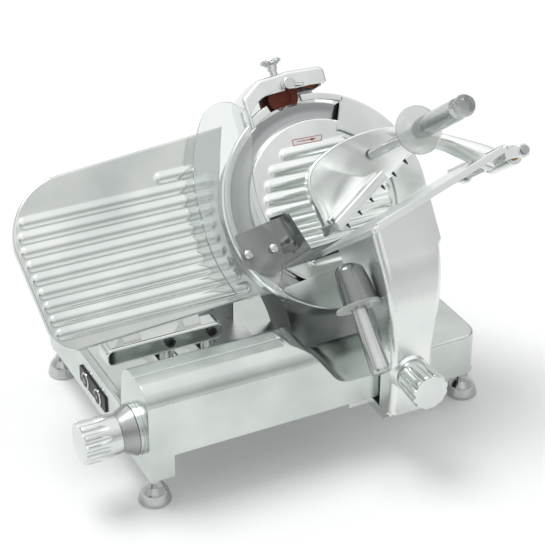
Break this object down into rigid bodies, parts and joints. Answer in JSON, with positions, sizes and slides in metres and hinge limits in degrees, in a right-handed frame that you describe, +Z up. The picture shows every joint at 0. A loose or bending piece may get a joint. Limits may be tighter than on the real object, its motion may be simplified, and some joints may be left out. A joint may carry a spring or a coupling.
{
  "type": "meat slicer",
  "caption": "Electric gravity-feed meat slicer with a leaning round blade, ribbed thickness plate, sliding tray carriage and swing-over product press.",
  "frame": {"origin": "middle of the machine's footprint box at the level its feet stand on", "axes": "+X along the carriage travel away from the thickness knob, +Y from the carriage side to the back, +Z up"},
  "size_m": [0.6025, 0.439, 0.4736],
  "materials": {
    "cast_aluminium": "satin anodised",
    "polished_casting": "polished",
    "chrome": "bright",
    "stainless": "brushed",
    "blade_steel": "ground",
    "bearing_steel": "ground",
    "bronze": "turned",
    "black_plastic": "matte",
    "rubber": "matte",
    "clear_plastic": "clear",
    "abrasive": "gritty",
    "motor_paint": "satin"
  },
  "bodies": {
    "base": {"base_housing": "cast_aluminium", "bottom_plate": "stainless", "feet": "chrome", "deck_plate": "stainless", "switch_bezel": "black_plastic", "cord_inlet": "black_plastic", "blade_column": "polished_casting", "motor_cover": "cast_aluminium", "motor": "motor_paint", "drive_belt": "rubber", "blade_bearings": "bearing_steel", "blade_cover": "polished_casting", "ring_guard": "polished_casting", "slice_deflector": "stainless", "sharpener_bracket": "cast_aluminium", "sharpener_housing": "cast_aluminium", "gauge_guide_rod": "bearing_steel", "carriage_rod": "bearing_steel", "support_rail": "bearing_steel", "carriage_bumpers": "rubber"},
    "start_button": {"start_button": "black_plastic"},
    "stop_button": {"stop_button": "black_plastic"},
    "blade_spindle": {"blade": "blade_steel", "blade_shaft": "bearing_steel", "blade_pulley": "cast_aluminium"},
    "motor_pulley": {"motor_pulley": "bearing_steel"},
    "cover_release": {"cover_tie_rod": "bearing_steel", "cover_release_knob": "chrome"},
    "grinding_stone": {"grinding_stone": "abrasive"},
    "deburring_stone": {"deburring_stone": "abrasive"},
    "sharpener_knob": {"sharpener_knob": "chrome"},
    "stone_lever": {"stone_lever": "chrome"},
    "gauge": {"gauge_plate": "cast_aluminium", "gauge_bar": "polished_casting", "gauge_posts": "chrome", "gauge_screws": "black_plastic", "gauge_slider": "cast_aluminium"},
    "thickness_dial": {"thickness_spindle": "bearing_steel", "scale_ring": "polished_casting", "thickness_knob": "polished_casting"},
    "carriage": {"carriage_arm": "cast_aluminium", "slide_bush": "bronze", "carriage_tray": "cast_aluminium", "guard_plate": "stainless", "hand_guard": "clear_plastic", "guard_screws": "chrome", "push_handle_block": "polished_casting", "push_handle_disc": "clear_plastic", "push_handle_grip": "polished_casting", "pusher_rod": "chrome"},
    "support_roller": {"support_roller": "bearing_steel"},
    "lock_knob": {"lock_knob": "polished_casting"},
    "pusher_sleeve": {"pusher_sleeve": "bronze"},
    "pusher": {"pusher": "cast_aluminium", "pusher_spikes": "black_plastic", "pusher_handle_rod": "chrome", "pusher_handle_disc": "clear_plastic", "pusher_handle_grip": "polished_casting", "pusher_handle_ball": "clear_plastic"}
  },
  "joints": [
    {"name": "start_press", "type": "slide", "parent": "base", "child": "start_button", "axis": [1, 0, 0], "range_m": [0, 0.002], "stiffness_N_per_m": 400},
    {"name": "stop_press", "type": "slide", "parent": "base", "child": "stop_button", "axis": [1, 0, 0], "range_m": [0, 0.002], "stiffness_N_per_m": 400},
    {"name": "blade_spin", "type": "hinge", "parent": "base", "child": "blade_spindle", "pos_m": [0.099, 0.057, 0.24], "axis": [0, -0.7986, 0.6018], "continuous": true},
    {"name": "motor_spin", "type": "hinge", "parent": "base", "child": "motor_pulley", "pos_m": [0.099, 0.01006, 0.17771], "axis": [0, -0.7986, 0.6018], "continuous": true},
    {"name": "cover_release_turn", "type": "hinge", "parent": "base", "child": "cover_release", "pos_m": [0.099, 0.057, 0.24], "axis": [0, -0.7986, 0.6018], "range_deg": [0, 720]},
    {"name": "grinding_stone_spin", "type": "hinge", "parent": "base", "child": "grinding_stone", "pos_m": [0.087, 0.14246, 0.35341], "axis": [0, -0.7986, 0.6018], "continuous": true},
    {"name": "deburring_stone_spin", "type": "hinge", "parent": "base", "child": "deburring_stone", "pos_m": [0.119, 0.14968, 0.36299], "axis": [0, -0.7986, 0.6018], "continuous": true},
    {"name": "sharpener_press", "type": "slide", "parent": "base", "child": "sharpener_knob", "axis": [0, -0.6018, -0.7986], "range_m": [0, 0.0028], "stiffness_N_per_m": 600},
    {"name": "stone_lever_turn", "type": "hinge", "parent": "base", "child": "stone_lever", "pos_m": [0.085, 0.14908, 0.36219], "axis": [0, -0.7986, 0.6018], "range_deg": [0, 70]},
    {"name": "gauge_slide", "type": "slide", "parent": "base", "child": "gauge", "axis": [0, 1, 0], "range_m": [0, 0.0188]},
    {"name": "thickness_turn", "type": "hinge", "parent": "base", "child": "thickness_dial", "pos_m": [-0.26, -0.09, 0.093], "axis": [1, 0, 0], "range_deg": [0, 291]},
    {"name": "carriage_slide", "type": "slide", "parent": "base", "child": "carriage", "axis": [1, 0, 0], "range_m": [-0.235, 0]},
    {"name": "support_roll", "type": "hinge", "parent": "carriage", "child": "support_roller", "pos_m": [0.105, -0.062, 0.061], "axis": [0, 1, 0], "range_deg": [-1250, 1]},
    {"name": "lock_turn", "type": "hinge", "parent": "carriage", "child": "lock_knob", "pos_m": [0.093, -0.19, 0.121], "axis": [0, 1, 0], "range_deg": [0, 180]},
    {"name": "pusher_slide", "type": "slide", "parent": "carriage", "child": "pusher_sleeve", "axis": [0, -0.7986, 0.6018], "range_m": [-0.0435, 0.0135]},
    {"name": "pusher_swing", "type": "hinge", "parent": "pusher_sleeve", "child": "pusher", "pos_m": [0.286, -0.04606, 0.30263], "axis": [0, 0.7986, -0.6018], "range_deg": [0, 100]}
  ],
  "couplings": [
    {"joint": "motor_spin", "follows": "blade_spin", "ratio": 4},
    {"joint": "thickness_turn", "follows": "gauge_slide", "rad_per_m": 269.23},
    {"joint": "support_roll", "follows": "carriage_slide", "rad_per_m": 92.593}
  ]
}
